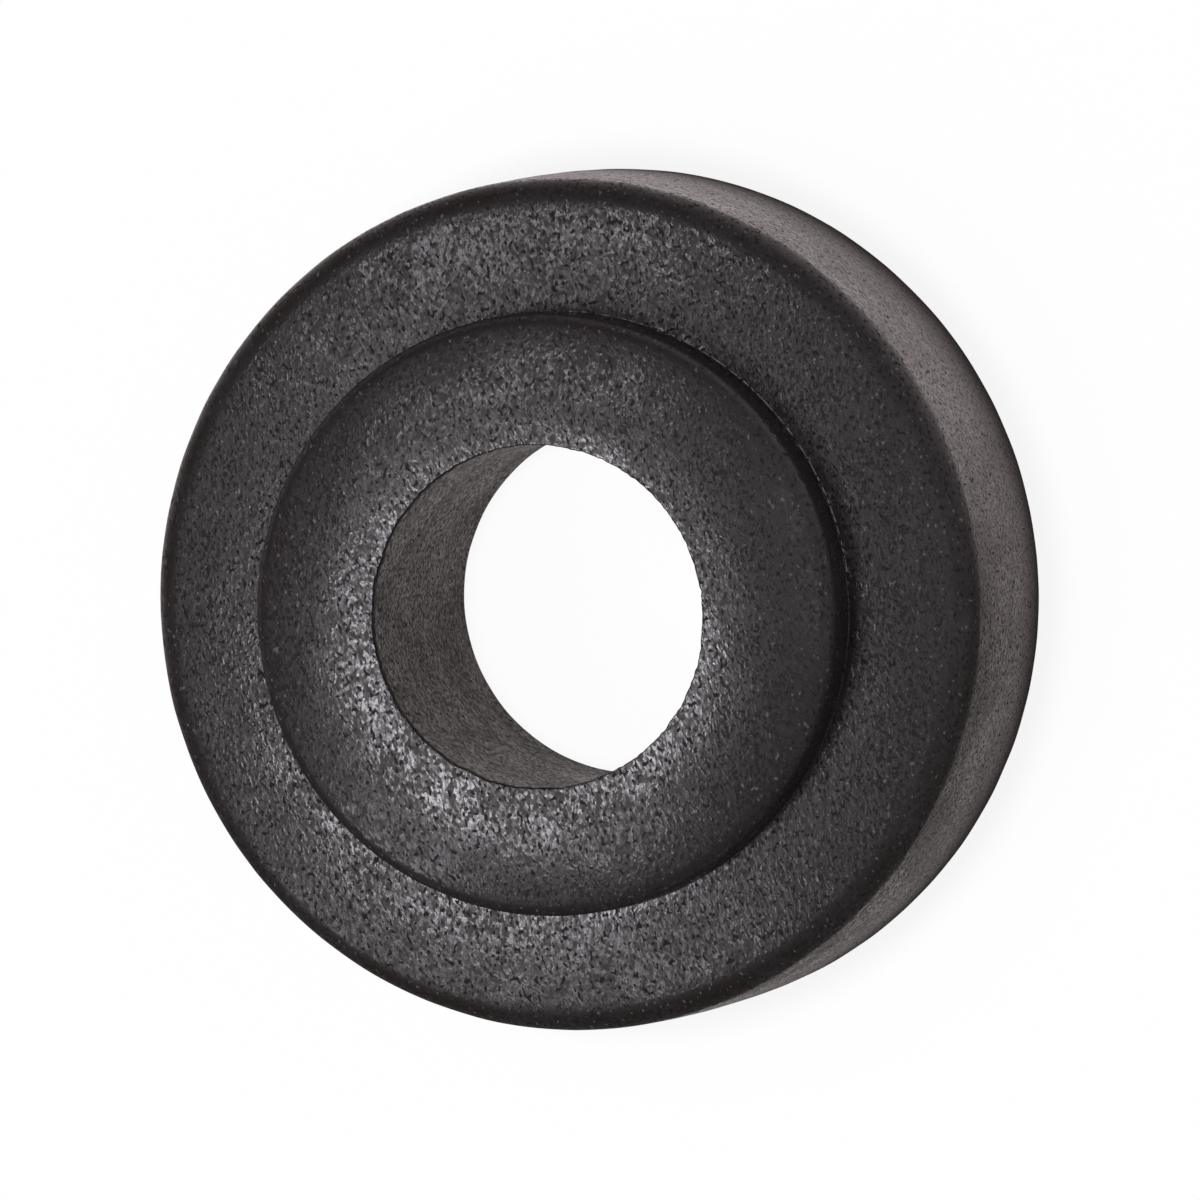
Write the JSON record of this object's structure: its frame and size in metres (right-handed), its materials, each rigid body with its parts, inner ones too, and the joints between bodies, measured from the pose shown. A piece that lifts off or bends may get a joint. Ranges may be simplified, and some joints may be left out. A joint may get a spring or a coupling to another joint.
{
  "type": "rubber bushing",
  "caption": "Round moulded rubber bushing: a thick flange with a low crowned hub on one face, a flat back, and a straight through bore with a thin lip at its front mouth.",
  "frame": {"origin": "centre of the flat back face, on the bore's axis", "axes": "+Z along the bore's axis, from the flat back face towards the hub"},
  "size_m": [0.032, 0.032, 0.0129],
  "materials": {
    "rubber": "matte moulded, with a fine mottled bloom"
  },
  "bodies": {
    "root": {"bushing": "rubber"}
  },
  "joints": []
}
